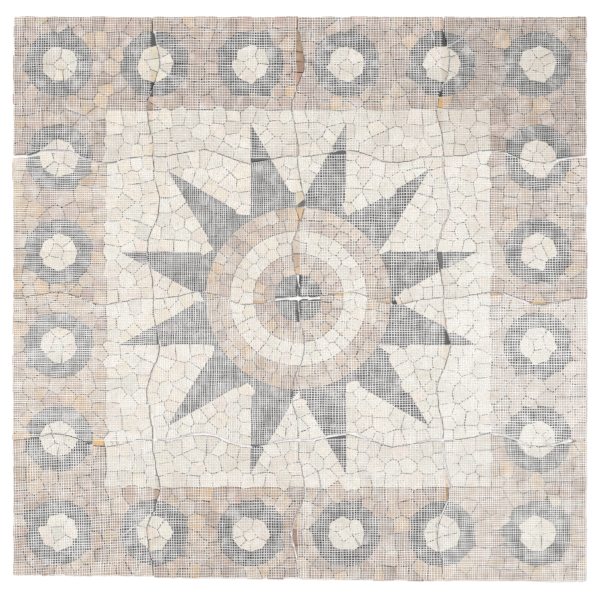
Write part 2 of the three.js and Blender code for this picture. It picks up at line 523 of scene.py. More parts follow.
for centre in roundel_centres():
    near_centre = np.array(centre) + rng.uniform(-CORE_STRAY, CORE_STRAY, 2)
    add_middle(near_centre, area_at(near_centre), CORE_CLEARANCE)
darts = rng.uniform(-HALF, HALF, (DARTS, 2))
dart_areas = area_at(darts)
well_inside = (area_at(darts[:, None] + RING) == dart_areas[:, None]).all(axis=1) & (dart_areas >= 0)
for dart, area in zip(darts[well_inside], dart_areas[well_inside]):
    clearance = FILL_CLEARANCE[area % len(STONES)]
    if np.hypot(*(middles - dart).T).min() > clearance:
        add_middle(dart, area, clearance)
print(len(middles), "chips in all;", round(time.time() - started, 1), "s")

# %% [markdown]
# Cutting the chips
#
# A chip reaches halfway to each of its neighbours in the mat. So it starts as a large square and is cut once
# for every neighbour, which leaves a small straight-edged polygon like a stone broken with nippers. Each cut
# is drawn back by half a joint. A chip at the side of its mat is cut along the seam too, by the seam's
# tangents where it is nearest, since one broken stone can't follow a curve. The mats lie a little off their
# nominal places, so these cuts allow for that, and the gap comes out as wide as it should be.

# %% The cuts
REACH = 95.0  # no neighbour further off than this touches a chip
FACE_JOINT = 0.16  # between two chips at their widest
EDGE_UNEVEN = 1.2  # how far the chips along the panel's edges stand out or back
NEAR_SIDE = 60.0  # a chip further off than this doesn't reach the side of its mat
TANGENTS = (-8, 0, 8)  # where along a side it is cut: so many points beside the nearest one


def cut(polygon, normal, limit):
    """The part of a convex polygon on one side of a line."""
    kept = []
    for i, (x, y) in enumerate(polygon):
        before_x, before_y = polygon[i - 1]
        now = x * normal[0] + y * normal[1] - limit
        before = before_x * normal[0] + before_y * normal[1] - limit
        if (now > 0) != (before > 0):
            share = before / (before - now)
            kept.append((before_x + (x - before_x) * share, before_y + (y - before_y) * share))
        if now <= 0:
            kept.append((x, y))
    return kept


def moved(points, mat):
    """How far a mat's place takes drawing points off their nominal places."""
    return put_in_place(points, mat) / [1, FLATTEN] - points


def cut_by_sides(polygon, middle, mat):
    """A chip cut off where its mat ends."""
    for side in SIDES:
        line, outward, gaps = MAT_SIDES[mat, side]
        distances = np.hypot(*(line - middle).T)
        nearest = int(distances.argmin())
        if distances[nearest] > NEAR_SIDE:
            continue
        at_edge = gaps[nearest] == 0
        give = rng.uniform(-EDGE_UNEVEN, EDGE_UNEVEN) if at_edge else 0.0
        off = np.zeros(2) if at_edge else moved(middle, mat)
        for beside in TANGENTS:
            at = min(max(nearest + beside, 0), len(line) - 1)
            limit = outward[at] @ (line[at] - off) - gaps[at] / 2 + give
            polygon = cut(polygon, outward[at], limit)
    return polygon


def cut_chip(one):
    """The outline of one chip."""
    x, y = middles[one]
    mat = areas[one] // len(STONES)
    polygon = [(x - REACH, y - REACH), (x + REACH, y - REACH), (x + REACH, y + REACH), (x - REACH, y + REACH)]
    for _, other, distance in sorted(tree.find_range((x, y, 0), REACH), key=lambda found: found[2]):
        if other == one or areas[other] // len(STONES) != mat:
            continue
        normal = (middles[other] - middles[one]) / distance
        limit = normal @ (middles[one] + middles[other]) / 2 - FACE_JOINT / 2
        polygon = cut(polygon, normal, limit)
    return cut_by_sides(polygon, middles[one], mat)


tree = kdtree.KDTree(len(middles))
for i, (x, y) in enumerate(middles):
    tree.insert((x, y, 0), i)
tree.balance()
chips = [(int(areas[one]), np.array(cut_chip(one))) for one in range(len(middles))]
print(len(chips), "chips cut")

# %% The crumbs thrown away
SMALLEST_CHIP = 24.0  # square millimetres; the layer has no use for smaller ones


def area_of(polygon):
    x, y = polygon.T
    return 0.5 * abs(np.dot(x, np.roll(y, -1)) - np.dot(y, np.roll(x, -1)))


chips = [(area, polygon) for area, polygon in chips if len(polygon) > 2 and area_of(polygon) > SMALLEST_CHIP]
sizes = np.sqrt([area_of(polygon) for _, polygon in chips])
print(len(chips), "chips,", np.percentile(sizes, [5, 50, 95]).round(1), "mm across")
print("laid and cut after", round(time.time() - started, 1), "s")

# %% [markdown]
# Where the nets end
#
# The net on a mat's back follows the stones nearly to their edge. On some sides it was cut straight instead,
# and where the seam swings out past that cut, a strip of stones lies bare and dry. Narrow strips are also
# bare in the core of the hub, where four mats meet. The glue that holds the net changes the colour of the
# stones under it, and they also take painted shade of the net, so the stones need to know where it ends.

# %% The nets' ends
NET_INSET = 0.5  # from the edge of the stones, where the net follows them
CORE_BARE = 4.5  # beside the seams in the hub's core, where the four nets stop short

# Where a net is cut straight, and how far that is past the seam's straight line, or short of it.
STRAIGHT_CUTS = {
    "a1": {"right": -5.0},
    "a2": {"left": -0.5, "bottom": 5.0, "right": -4.0},
    "a3": {"right": -2.0},
    "a4": {"left": 3.5},
    "b2": {"right": -2.5, "bottom": 6.0},
    "b3": {"left": -2.0, "top": 4.5, "bottom": 7.0},
    "b4": {"left": 3.0, "bottom": 7.5},
    "c1": {"right": 9.5, "top": 10.5, "bottom": 1.5},
    "c2": {"bottom": 8.0},
    "c3": {"right": 3.0, "top": 8.0},
    "c4": {"top": 7.0},
    "d1": {"right": 4.5, "top": 6.0},
    "d2": {"left": 7.0},
    "d3": {"left": 2.0, "top": 7.0, "right": 5.0},
    "d4": {"left": 6.0},
}


def under_net(points, mat):
    """Whether drawing points of a mat lie within the straight cuts of its net."""
    row, column = divmod(mat, MATS_PER_SIDE)
    left, bottom = column * MAT - HALF, HALF - (row + 1) * MAT
    x, y = points[..., 0], points[..., 1]
    past = {"left": left - x, "right": x - left - MAT, "bottom": bottom - y, "top": y - bottom - MAT}
    inside = np.ones(x.shape, bool)
    for side, reach in STRAIGHT_CUTS.get(MATS[mat], {}).items():
        inside &= past[side] < reach
    in_core = np.hypot(x, y) < HUB[0][0]
    return inside & ~(in_core & (np.minimum(abs(x), abs(y)) < CORE_BARE))


def inside_net(points, mat):
    """Whether drawing points lie on a mat's net: within its cuts, and not past the stones."""
    inside = under_net(points, mat)
    off = moved(points.mean(axis=0), mat)
    for side, (upright, _) in SIDES.items():
        line, _, gaps = MAT_SIDES[mat, side]
        along, across = (1, 0) if upright else (0, 1)
        place = points + off * (gaps.max() > 0)
        edge = np.interp(place[:, along], line[:, along], line[:, across])
        back = np.interp(place[:, along], line[:, along], gaps) / 2 + NET_INSET
        outward = 1 if side in ("right", "top") else -1
        inside &= outward * (edge - place[:, across]) > back
    return inside


print(sum(len(cuts) for cuts in STRAIGHT_CUTS.values()), "sides of nets are cut straight")

# %% [markdown]
# From outline to stone
#
# A broken edge is never quite straight, so each side gets three points that stray inwards by up to a third
# of a millimetre, and the corners lose their tips. The nippers also leave slanting sides. The layer turns the
# larger end down, so that the joints are tight where they will be walked on, and from the back each joint is
# a dark groove, here fine and there wide. The back is sawn and dull, a little higher or lower from chip to
# chip, since the stones are laid face down. Every chip is only a few dozen faces, because there are very many
# of them.

# %% The chips' solids
EDGE_WANDER = 0.35  # how far a point of a side strays
MIDDLE_WANDER = 0.15  # how far along a side its middle point strays, as a share of the side
NICK = 1.3  # how much of a side each corner loses
WORN = 0.4  # the worn edge of the polished face
CRUMBLED = 0.3  # the broken edge at the back

# How much smaller a chip is at its back, from each side.
TAPER = {ROSE: (0.1, 0.75), CREAM: (0.0, 0.36), GREY: (0.2, 0.7)}
GAPE = 2.5  # how many times its taper a chip is drawn in at most; elsewhere a joint is nearly closed
FEW_GAPE = 1.5  # the more it is above 1, the fewer corners gape wide
LEAN = 0.7  # how far a chip's back is pushed aside at most, as a share of its taper
BACK_UNEVEN = 0.4  # how much lower than the rest a back may lie
LEAST_SIDE = 3.5  # a shorter side is left out


def rough_outline(polygon):
    """A broken stone's outline: sides that stray a little, and nicked corners."""
    sides = np.roll(polygon, -1, axis=0) - polygon
    keep = np.linalg.norm(sides, axis=1) > LEAST_SIDE
    if keep.sum() < 3:
        return polygon
    polygon = polygon[keep]
    sides = np.roll(polygon, -1, axis=0) - polygon
    points = []
    for corner, side in zip(polygon, sides):
        length = np.linalg.norm(side)
        along = side / length
        inward = np.array([-along[1], along[0]])
        halfway = 0.5 + rng.uniform(-MIDDLE_WANDER, MIDDLE_WANDER)
        for share in (NICK / length, halfway, 1 - NICK / length):
            points.append(corner + share * side + inward * rng.uniform(0, EDGE_WANDER))
    return np.array(points)


def shrunk(points, by):
    """The outline drawn in towards its middle by about so many millimetres."""
    middle = points.mean(axis=0)
    away = points - middle
    distance = np.linalg.norm(away, axis=1)[:, None]
    return middle + away * (1 - by / distance)


def chip_solid(polygon, mat, kind):
    """The corners of one chip, in metres, its faces, and which corners lie under the net."""
    outline = rough_outline(polygon)
    back = STONE_THICKNESS - rng.uniform(0, BACK_UNEVEN)
    taper = rng.uniform(*TAPER[kind])
    lean = np.array(polar(LEAN * taper * rng.uniform(), rng.uniform(0, 2 * np.pi)))
    count = len(outline)
    gape = GAPE * rng.uniform(0, 1, (count, 1)) ** FEW_GAPE
    levels = [
        (shrunk(outline, WORN), 0.0),
        (outline, WORN),
        (shrunk(outline, taper * gape) + lean, back - CRUMBLED),
        (shrunk(outline, (taper + CRUMBLED) * gape) + lean, back),
    ]
    corners = [np.column_stack([put_in_place(points, mat), np.full(count, z)]) for points, z in levels]
    faces = [tuple(reversed(range(count)))]
    for level in range(len(levels) - 1):
        for i in range(count):
            low, high = level * count, (level + 1) * count
            j = (i + 1) % count
            faces.append((low + i, low + j, high + j, high + i))
    top = (len(levels) - 1) * count
    faces.append(tuple(range(top, top + count)))
    glued = np.concatenate([under_net(points, mat) for points, _ in levels])
    return np.vstack(corners) * MM, faces, glued


# %% What differs from mat to mat

# How far the stones of a mat lean towards amber, and how much paler they are than the usual ones. Each mat
# was laid from its own bags of stone, so the mats differ.
HUE_SHIFT = {"a1": 0.1, "b1": 0.42, "b2": 0.2, "c1": 0.36, "c2": 0.1, "b4": -0.1, "c4": -0.12, "d3": -0.06}
TONE_SHIFT = {
    "a1": -0.2,
    "a2": -0.2,
    "a3": -0.3,
    "a4": -0.55,
    "b1": 0.1,
    "b2": 0.15,
    "b3": 0.1,
    "b4": 0.15,
    "c1": 0.4,
    "c2": 0.3,
    "c3": 0.3,
    "c4": 0.5,
    "d1": 0.15,
    "d4": 0.15,
}

# How strong the veil of dried glue on the light stones of a mat is. On the grey ones little of it shows.
VEIL = {"a3": 0.04, "b3": 0.07, "b4": 0.08, "c3": 0.07, "c4": 0.28, "d3": 0.07, "d4": 0.07}
VEIL_ON_GREY = 0.15  # as a share of that
print(len(TONE_SHIFT), "mats differ in tone,", len(HUE_SHIFT), "in hue and", len(VEIL), "in glue")

# %% The mesh of a mat's chips


def mesh_of_chips(name, polygons, mat, kind):
    """All chips of one stone in one mat, with a tone and a hue of its own for each."""
    corners, faces, tones, hues, soaked = [], [], [], [], []
    start = 0
    for polygon in polygons:
        points, chip_faces, glued = chip_solid(polygon, mat, kind)
        corners.append(points)
        faces += [tuple(start + i for i in face) for face in chip_faces]
        tones += [rng.uniform() + TONE_SHIFT.get(MATS[mat], 0.0)] * len(points)
        hues += [rng.uniform() + HUE_SHIFT.get(MATS[mat], 0.0)] * len(points)
        soaked += [float(value) for value in glued]
        start += len(points)
    mesh = bpy.data.meshes.new(name)
    mesh.from_pydata(np.vstack(corners), [], faces)
    veils = [VEIL.get(MATS[mat], 0.0) * (VEIL_ON_GREY if kind == GREY else 1.0)] * len(tones)
    for attribute, values in (("chip_tone", tones), ("chip_hue", hues), ("glued", soaked), ("veil", veils)):
        mesh.attributes.new(attribute, "FLOAT", "POINT").data.foreach_set("value", values)
    mesh.validate()
    return mesh


# %% [markdown]
# Shader sums written as sums
#
# Materials are easier to read as formulas than as wiring. A small class stands for one output of a node:
# adding or multiplying two of them adds the Math node behind it.

# %% A small language for materials


class Wire:
    """One output of a node. Sums on it add Math nodes."""

    def __init__(self, recipe, socket):
        self.recipe = recipe
        self.socket = socket

    def maths(self, operation, first, second):
        return self.recipe.node("ShaderNodeMath", {"operation": operation}, {0: first, 1: second})

    def __add__(self, other):
        return self.maths("ADD", self, other)

    def __radd__(self, other):
        return self.maths("ADD", other, self)

    def __sub__(self, other):
        return self.maths("SUBTRACT", self, other)

    def __rsub__(self, other):
        return self.maths("SUBTRACT", other, self)

    def __mul__(self, other):
        return self.maths("MULTIPLY", self, other)

    def __rmul__(self, other):
        return self.maths("MULTIPLY", other, self)


class Recipe:
    """A material that is being mixed."""

    def __init__(self, name):
        self.material = bpy.data.materials.new(name)
        self.material.use_nodes = True
        self.nodes = self.material.node_tree.nodes
        self.links = self.material.node_tree.links
        self.shader = self.nodes["Principled BSDF"]
        self.here = self.node("ShaderNodeTexCoord", output="Object")

    def node(self, kind, settings=None, inputs=None, output=0):
        """Adds a node: its settings first, then a value or a wire for each named input."""
        node = self.nodes.new(kind)
        for name, value in (settings or {}).items():
            setattr(node, name, value)
        self.connect(node, inputs or {})
        return Wire(self, node.outputs[output])

    def connect(self, node, inputs):
        for name, value in inputs.items():
            if isinstance(value, Wire):
                self.links.new(value.socket, node.inputs[name])
            else:
                node.inputs[name].default_value = value

    def attribute(self, name):
        return self.node("ShaderNodeAttribute", {"attribute_name": name}, output="Fac")

    def noise(self, size, detail=3.0, roughness=0.55, seed=0.0):
        """Cloudy values from 0 to 1, with clouds about so many metres across."""
        inputs = {"Vector": self.here, "W": seed, "Scale": 1 / size, "Detail": detail, "Roughness": roughness}
        return self.node("ShaderNodeTexNoise", {"noise_dimensions": "4D"}, inputs)

    def between(self, value, low, high):
        """0 below one value, 1 above the other, and a smooth climb in between."""
        settings = {"interpolation_type": "SMOOTHSTEP"}
        inputs = {"Value": value, "From Min": low, "From Max": high, "To Min": 0.0, "To Max": 1.0}
        return self.node("ShaderNodeMapRange", settings, inputs)

    def blend(self, first, second, share):
        """Two colours mixed."""
        settings = {"data_type": "RGBA", "clamp_factor": True}
        return self.node("ShaderNodeMix", settings, {0: share, 6: first, 7: second}, output=2)

    def ramp(self, value, colours):
        """A row of colours, evenly spread from 0 to 1."""
        ramp = self.nodes.new("ShaderNodeValToRGB")
        stops = ramp.color_ramp.elements
        while len(stops) < len(colours):
            stops.new(1.0)
        for number, colour in enumerate(colours):
            stops[number].position = number / (len(colours) - 1)
            stops[number].color = colour
        self.connect(ramp, {"Fac": value})
        return Wire(self, ramp.outputs[0])

    def finish(self, **inputs):
        self.connect(self.shader, {name.replace("_", " "): value for name, value in inputs.items()})
        return self.material


def srgb(red, green, blue, alpha=1.0):
    """A colour as seen on screen, from 0 to 255, in the linear values that a shader takes."""
    linear = [((c / 255 + 0.055) / 1.055) ** 2.4 if c > 10 else c / 255 / 12.92 for c in (red, green, blue)]
    return (*linear, alpha)


# %% [markdown]
# The three marbles
#
# Up close a sawn marble back is matt, with soft clouds and a few thin veins. From a step away what counts is
# that no two chips are quite alike, so each chip's own tone and hue, kept on its corners, move its colour.
# Under the net the glue has soaked in. It leaves a pale veil on the light stones, and the stones there are
# coloured darker, the grey one nearly black: partly the glue's wetting, partly painted shade of the net. The
# broken sides of the light stones are painted browner and those of the grey one darker, as painted shade in
# the joints. The faces that look down are polished, which makes them glossy and their colours deeper.

# %% Marble
# Painted shade in the joints: the colour given to the chips' broken sides, browner on the light stones and
# darker on the grey one, and how much of their own colour they lose to it.
JOINT_SHADE = srgb(112, 74, 52)
JOINT_SHADE_ON_GREY = srgb(38, 35, 34)
JOINT_SHADED = 0.85  # how much of its own colour a broken side loses to its stain
GLUE = srgb(240, 238, 233)
DARK_SPECK = srgb(92, 74, 62)

# How large the parts of the pattern are, in metres.
CLOUD_SIZE = 0.020
GRAIN_SIZE = 0.0016
VEIN_SIZE = 0.012
DARK_SPECK_SIZE = 0.0045
SOAKED_SIZE = 0.055
SMEAR_SIZE = 0.034


def marble(name, hues, dark, light, soaked, soak_and_shade, smeared, joint_shade, seed):
    """A marble whose chips take their hues from a row of colours, each darker or lighter than the next."""
    recipe = Recipe(name)
    tone = recipe.attribute("chip_tone")
    hue = recipe.attribute("chip_hue")
    clouds = recipe.noise(CLOUD_SIZE, detail=5, seed=seed)
    grain = recipe.noise(GRAIN_SIZE, detail=2, seed=seed + 1)
    colour = recipe.ramp(hue + 0.3 * clouds - 0.15, hues)
    shade = 0.8 * tone + 0.5 * clouds + 0.15 * grain - 0.25
    colour = recipe.blend(colour, dark, 0.75 - recipe.between(shade, 0.0, 0.5) * 0.75)
    colour = recipe.blend(colour, light, recipe.between(shade, 0.5, 1.0) * 0.75)
    vein = recipe.noise(VEIN_SIZE, detail=6, roughness=0.7, seed=seed + 2)
    edge = recipe.between(vein, 0.47, 0.5) * (1 - recipe.between(vein, 0.5, 0.53))
    colour = recipe.blend(colour, dark, edge * 0.35)
    # Dark specks, spread at random over the stones.
    dark_specks = recipe.between(recipe.noise(DARK_SPECK_SIZE, detail=1, seed=seed + 5), 0.62, 0.68)
    colour = recipe.blend(colour, DARK_SPECK, dark_specks * 0.6)
    up = recipe.node("ShaderNodeNewGeometry", output="Normal")
    height = recipe.node("ShaderNodeSeparateXYZ", None, {0: up}, output=2)
    facing_up = recipe.between(height, 0.3, 0.8)
    glued = recipe.attribute("glued") * facing_up
    patches = recipe.noise(SOAKED_SIZE, detail=4, roughness=0.65, seed=seed + 3)
    # Partly the glue's wetting, partly painted shade of the net: the upward faces under the net are blended
    # towards the soaked colour.
    colour = recipe.blend(colour, soaked, glued * soak_and_shade * (0.5 + 0.5 * recipe.between(patches, 0.35, 0.65)))
    smears = recipe.noise(SMEAR_SIZE, detail=4, roughness=0.65, seed=seed + 4)
    colour = recipe.blend(colour, GLUE, glued * smeared * recipe.between(smears, 0.5, 0.7))
    colour = recipe.blend(colour, GLUE, glued * recipe.attribute("veil"))
    polished = recipe.between(0 - height, 0.9, 0.98)
    # Painted shade in the joints: the broken sides, facing neither up nor down, are blended towards the joint
    # shade colour.
    colour = recipe.blend(colour, joint_shade, JOINT_SHADED - JOINT_SHADED * facing_up - JOINT_SHADED * polished)
    colour = recipe.blend(colour, dark, polished * 0.25)
    rough = 0.62 - 0.12 * tone - 0.1 * glued
    relief = (grain + clouds) * (1 - polished)
    bump = recipe.node("ShaderNodeBump", None, {"Strength": 0.35, "Distance": 0.0004, "Height": relief})
    return recipe.finish(Base_Color=colour, Roughness=rough * (1 - 0.75 * polished), Normal=bump)


# Each marble's soaked colour darkens its stones under the net, the grey nearly to black: partly the glue's
# wetting, partly painted shade of the net.
MARBLE = {
    ROSE: marble(
        "rose_marble",
        hues=[
            srgb(166, 149, 136),
            srgb(182, 145, 124),
            srgb(194, 151, 130),
            srgb(202, 169, 128),
            srgb(226, 180, 110),
        ],
        dark=srgb(140, 114, 98),
        light=srgb(216, 196, 170),
        soaked=srgb(120, 92, 72),
        soak_and_shade=0.5,
        smeared=0.4,
        joint_shade=JOINT_SHADE,
        seed=3.0,
    ),
    CREAM: marble(
        "cream_marble",
        hues=[
            srgb(212, 207, 196),
            srgb(222, 213, 199),
            srgb(228, 204, 190),
            srgb(208, 211, 194),
            srgb(229, 210, 176),
        ],
        dark=srgb(186, 174, 157),
        light=srgb(229, 224, 213),
        soaked=srgb(212, 203, 188),
        soak_and_shade=0.6,
        smeared=0.4,
        joint_shade=JOINT_SHADE,
        seed=11.0,
    ),
    GREY: marble(
        "grey_marble",
        hues=[srgb(68, 68, 71), srgb(76, 76, 78), srgb(62, 63, 67), srgb(82, 77, 74)],
        dark=srgb(44, 44, 47),
        light=srgb(104, 104, 104),
        soaked=srgb(20, 21, 24),
        soak_and_shade=1.0,
        smeared=0.45,
        joint_shade=JOINT_SHADE_ON_GREY,
        seed=23.0,
    ),
}
print(len(MARBLE), "marbles, with", len(MARBLE[ROSE].node_tree.nodes), "nodes in the rose one")

# %% [markdown]
# Putting the chips down
#
# The chips of one stone in one mat become one piece. It rides on the panel's only body and stands for the
# solids that it covers, which are then hidden.

# %% The stones of each mat
pieces = []
triangles = 0


def finish_piece(obj, nodes):
    """Hangs a piece on the body it moves with, hides the solids that it stands for and adds it to the pieces.
    """
    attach(obj, "root")
    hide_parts(*nodes)
    pieces.append(obj)


def triangles_of(mesh):
    """How many triangles a mesh comes to."""
    return sum(len(face.vertices) - 2 for face in mesh.polygons)


def stone_nodes(mat_name, polygons):
    """The solids that a piece's chips lie in: the border's, the field's or both."""
    chip_middles = np.array([polygon.mean(axis=0) for polygon in polygons])
    in_field = (abs(chip_middles) < FIELD_WIDTH / 2).all(axis=1)
    names = []
    if in_field.any():
        names.append(f"mat_{mat_name}_field_stones")
    if not in_field.all() and f"mat_{mat_name}_border_stones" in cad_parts:
        names.append(f"mat_{mat_name}_border_stones")
    return names


for mat, mat_name in enumerate(MATS):
    for kind, stone in enumerate(STONES):
        own = [polygon for area, polygon in chips if area == mat * len(STONES) + kind]
        if not own:
            continue
        mesh = mesh_of_chips(f"mat_{mat_name}_{stone}_chips", own, mat, kind)
        mesh.materials.append(MARBLE[kind])
        obj = bpy.data.objects.new(mesh.name, mesh)
        bpy.context.scene.collection.objects.link(obj)
        finish_piece(obj, stone_nodes(mat_name, own))
        triangles += triangles_of(mesh)
print(len(pieces), "pieces of stone,", triangles, "triangles;", round(time.time() - started, 1), "s")

# %% [markdown]
# The mesh
#
# The net is open glass-fibre mesh: flat threads in two layers, those up the picture over those across. It
# could be a picture of a grid on a sheet, but a net has real holes, and light and shadow go through them. So
# each thread is a flat tube. Python only works out where each thread starts and ends inside the mat's
# outline. Geometry Nodes do the rest for every thread at once: they set points along it, let it wander a
# little, and sweep a flat section along it.

# %% The threads' ends
THREAD_WIDTH = 1.34
THREAD_THICKNESS = 0.42
THREAD_SIDES = 6  # of its section
THREAD_STRAY = 0.55  # off its even place in the net
WIDTH_VARIES = (0.78, 1.22)  # from thread to thread
LOWER_LAYER = STONE_THICKNESS + 0.38  # height of the middle of the threads across
UPPER_LAYER = STONE_THICKNESS + 0.68  # and of those up the picture
THREAD_REACH = 0.56  # how far from the middle of a mat a thread is followed, as a share of the mat
NET_REACH = 0.55  # and how far out threads are laid
FOLLOW_STEP = 0.5  # between the points that are looked up along a thread
SHORTEST_RUN = 8  # a thread of no more such points is left out
UP_SLANT = 0.3  # the slant of the threads up the picture, as a share of the net's

# The net of each mat: the spacing of its threads across and up the picture, its slant in degrees, how many
# times wider its threads across are than those up, and how wide they are as a share of the usual width.
NET = {
    "a1": (4.95, 5.0, 0.4, 1.0, 0.86),
    "a2": (5.5, 5.1, -0.3, 1.3, 0.86),
    "a3": (4.95, 5.55, 0.2, 1.0, 0.89),
    "a4": (4.65, 4.35, 0.5, 1.15, 0.68),
    "b1": (4.6, 4.25, -0.4, 1.7, 0.84),
    "b2": (4.3, 4.4, 0.2, 0.65, 0.73),
    "b3": (5.7, 5.15, 0.3, 1.0, 1.0),
    "b4": (5.0, 5.6, -0.2, 1.35, 0.97),
    "c1": (4.6, 4.25, 0.3, 1.55, 0.96),
    "c2": (4.3, 4.8, 0.0, 0.6, 0.88),
    "c3": (5.05, 5.6, 0.4, 1.0, 1.04),
    "c4": (5.55, 5.1, -0.3, 1.15, 1.24),
    "d1": (5.45, 5.0, 2.5, 0.85, 1.05),
    "d2": (5.5, 5.1, 0.3, 1.0, 0.9),
    "d3": (4.95, 5.6, -0.2, 1.0, 0.95),
    "d4": (4.65, 4.3, 0.6, 1.15, 1.0),
}


def thread_ends(mat):
    """Where each thread starts and ends, and its width as a share of the usual one."""
    across, up, slant, contrast, usual = NET[MATS[mat]]
    row, column = divmod(mat, MATS_PER_SIDE)
    centre = np.array([(column + 0.5) * MAT - HALF, HALF - (row + 0.5) * MAT])
    angle = math.radians(slant)
    up_angle = angle * UP_SLANT
    reach = np.arange(-MAT * THREAD_REACH, MAT * THREAD_REACH, FOLLOW_STEP)
    ends, widths = [], []
    for along, spacing, height, wider in (
        (np.array([math.cos(angle), math.sin(angle)]), across, LOWER_LAYER, math.sqrt(contrast)),
        (np.array([-math.sin(up_angle), math.cos(up_angle)]), up, UPPER_LAYER, 1 / math.sqrt(contrast)),
    ):
        aside = np.array([-along[1], along[0]])
        for offset in np.arange(-MAT * NET_REACH, MAT * NET_REACH, spacing):
            strayed = offset + rng.uniform(-THREAD_STRAY, THREAD_STRAY)
            width = usual * wider * rng.uniform(*WIDTH_VARIES)
            points = centre + reach[:, None] * along + strayed * aside
            inside = np.flatnonzero(inside_net(points, mat))
            for run in np.split(inside, np.flatnonzero(np.diff(inside) > 1) + 1):
                if len(run) > SHORTEST_RUN:
                    first, last = put_in_place(points[[run[0], run[-1]]], mat)
                    ends.append(((*first, height), (*last, height)))
                    widths += [width, width]
    return np.array(ends) * MM, widths


spacings = [spacing for net in NET.values() for spacing in net[:2]]
print("the threads lie", min(spacings), "to", max(spacings), "mm apart")

# %% [markdown]
# The tree has three steps: points along each line, a small stray for every point, and a flat section swept
# along the result. The section is scaled from point to point, because a woven thread is nowhere equally
# thick.

# %% The tree's inputs
THREAD_INPUTS = {
    "Lines": "NodeSocketGeometry",
    "Width": "NodeSocketFloat",
    "Thickness": "NodeSocketFloat",
    "Step": "NodeSocketFloat",
    "Wander": "NodeSocketFloat",
    "Unevenness": "NodeSocketFloat",
    "Seed": "NodeSocketFloat",
    "Material": "NodeSocketMaterial",
}
THREADS = bpy.data.node_groups.new("threads", "GeometryNodeTree")
for name, kind in THREAD_INPUTS.items():
    THREADS.interface.new_socket(name, in_out="INPUT", socket_type=kind)
THREADS.interface.new_socket("Threads", in_out="OUTPUT", socket_type="NodeSocketGeometry")
SOCKETS = {item.name: item.identifier for item in THREADS.interface.items_tree if item.in_out == "INPUT"}


def tree_node(kind, settings=None, **inputs):
    """Adds a node to the tree: its settings first, then its inputs by name, or by number as _0 or _1."""
    made = THREADS.nodes.new(kind)
    for name, value in (settings or {}).items():
        setattr(made, name, value)
    for name, value in inputs.items():
        socket = made.inputs[int(name[1:]) if name[0] == "_" else name.replace("_", " ")]
        if isinstance(value, bpy.types.NodeSocket):
            THREADS.links.new(value, socket)
        else:
            socket.default_value = value
    return made


given = tree_node("NodeGroupInput").outputs
print("the tree takes", ", ".join(SOCKETS))

# %% Points along the lines, and their stray
STRAY_SIZE = 28.0  # how close together the bends of a thread come
HALF_WAY = (0.5, 0.5, 0.5)
STRAY_SHARES = (2.0, 2.0, 0.12)  # a thread strays aside much more than up and down


def cloud(scale, detail):
    """Random values that change slowly from place to place."""
    settings = {"noise_dimensions": "4D"}
    return tree_node("ShaderNodeTexNoise", settings, W=given["Seed"], Scale=scale, Detail=detail).outputs


def vectors(operation, first, second):
    """A sum on two vectors."""
    return tree_node("ShaderNodeVectorMath", {"operation": operation}, _0=first, _1=second).outputs[0]


curves = tree_node("GeometryNodeMeshToCurve", Mesh=given["Lines"]).outputs[0]
points = tree_node("GeometryNodeResampleCurve", {"mode": "LENGTH"}, Curve=curves, Length=given["Step"])
stray = vectors("SUBTRACT", cloud(STRAY_SIZE, 2.0)["Color"], HALF_WAY)
stray = vectors("MULTIPLY", stray, STRAY_SHARES)
wander = tree_node("ShaderNodeVectorMath", {"operation": "SCALE"}, _0=stray, Scale=given["Wander"])
strayed = tree_node("GeometryNodeSetPosition", Geometry=points.outputs[0], Offset=wander.outputs[0])
print(len(THREADS.nodes), "nodes so far")

# %% The flat section, swept along them
SWELL_SIZE = 70.0  # how close together a thread swells and thins

swollen = tree_node("ShaderNodeMath", {"operation": "SUBTRACT"}, _0=cloud(SWELL_SIZE, 1.0)["Fac"], _1=0.5)
settings = {"operation": "MULTIPLY_ADD"}
swell = tree_node("ShaderNodeMath", settings, _0=swollen.outputs[0], _1=given["Unevenness"], _2=1.0)
own = tree_node("GeometryNodeInputNamedAttribute", {"data_type": "FLOAT"}, Name="own_width")
scale = tree_node("ShaderNodeMath", {"operation": "MULTIPLY"}, _0=swell.outputs[0], _1=own.outputs[0])
upright = tree_node("GeometryNodeSetCurveNormal", {"mode": "Z_UP"}, Curve=strayed.outputs[0])
ring = tree_node("GeometryNodeCurvePrimitiveCircle", Resolution=THREAD_SIDES, Radius=0.5)
size = tree_node("ShaderNodeCombineXYZ", X=given["Width"], Y=given["Thickness"], Z=1.0)
section = tree_node("GeometryNodeTransform", Geometry=ring.outputs[0], Scale=size.outputs[0])
swept = tree_node(
    "GeometryNodeCurveToMesh",
    Curve=upright.outputs[0],
    Profile_Curve=section.outputs[0],
    Fill_Caps=True,
    Scale=scale.outputs[0],
)
smooth = tree_node("GeometryNodeSetShadeSmooth", Geometry=swept.outputs[0], Shade_Smooth=True)
whole = tree_node("GeometryNodeRealizeInstances", Geometry=smooth.outputs[0])
painted = tree_node("GeometryNodeSetMaterial", Geometry=whole.outputs[0], Material=given["Material"])
tree_node("NodeGroupOutput", Threads=painted.outputs[0])
print(len(THREADS.nodes), "nodes in the tree")

# %% [markdown]
# Glass-fibre thread is coated, so it is white and only faintly shiny. It isn't quite even: glue has soaked
# into some stretches and left others a little greyer.

# %% The threads' finish
GLUE_SIZE = 0.03  # of the stretches that differ, in metres
FIBRE_SIZE = 0.0006


